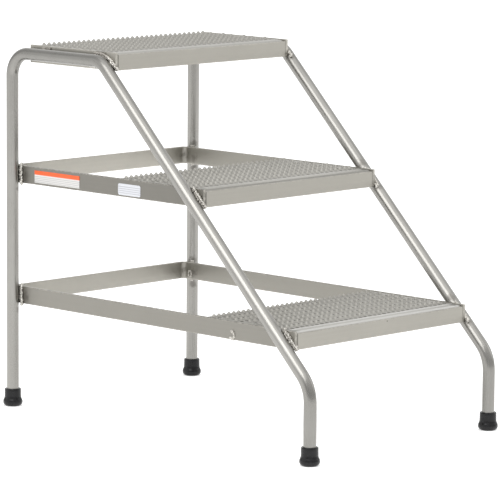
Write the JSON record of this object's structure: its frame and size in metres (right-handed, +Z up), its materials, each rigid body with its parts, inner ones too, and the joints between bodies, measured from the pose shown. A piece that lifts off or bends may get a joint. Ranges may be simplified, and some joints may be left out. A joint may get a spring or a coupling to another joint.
{
  "type": "mounting block",
  "caption": "Welded aluminium mounting block with bent tube sides, raised-button step treads and rubber feet, for climbing onto a horse.",
  "frame": {"origin": "on the floor, midway between the two side frames and midway between the front and rear feet", "axes": "+Z up; +Y the way the steps rise, from the front of the block to its back; +X to the right of a person who faces the steps"},
  "size_m": [0.569, 0.901, 0.762],
  "materials": {
    "tube": "satin",
    "bar": "mill finish, satin",
    "tread": "mill finish, raised buttons",
    "weld": "as welded",
    "rubber": "moulded",
    "steel": "zinc plated",
    "orange_label": "printed film, blank",
    "white_label": "printed film, blank"
  },
  "bodies": {
    "root": {"left_side_frame": "tube", "right_side_frame": "tube", "bottom_frame_bar": "bar", "middle_frame_bar": "bar", "top_left_bar": "bar", "top_right_bar": "bar", "top_rear_bar": "bar", "bottom_front_bar": "bar", "middle_front_bar": "bar", "top_front_bar": "bar", "bottom_tread": "tread", "middle_tread": "tread", "top_tread": "tread", "front_left_foot": "rubber", "front_right_foot": "rubber", "rear_left_foot": "rubber", "rear_right_foot": "rubber", "front_left_foot_washer": "steel", "front_right_foot_washer": "steel", "rear_left_foot_washer": "steel", "rear_right_foot_washer": "steel", "left_bottom_stringer_weld": "weld", "left_middle_stringer_weld": "weld", "left_bottom_leg_weld": "weld", "left_middle_leg_weld": "weld", "left_top_bend_weld": "weld", "left_top_upper_weld": "weld", "left_top_lower_weld": "weld", "right_bottom_stringer_weld": "weld", "right_middle_stringer_weld": "weld", "right_bottom_leg_weld": "weld", "right_middle_leg_weld": "weld", "right_top_bend_weld": "weld", "right_top_upper_weld": "weld", "right_top_lower_weld": "weld", "orange_label": "orange_label", "white_label": "white_label"}
  },
  "joints": []
}
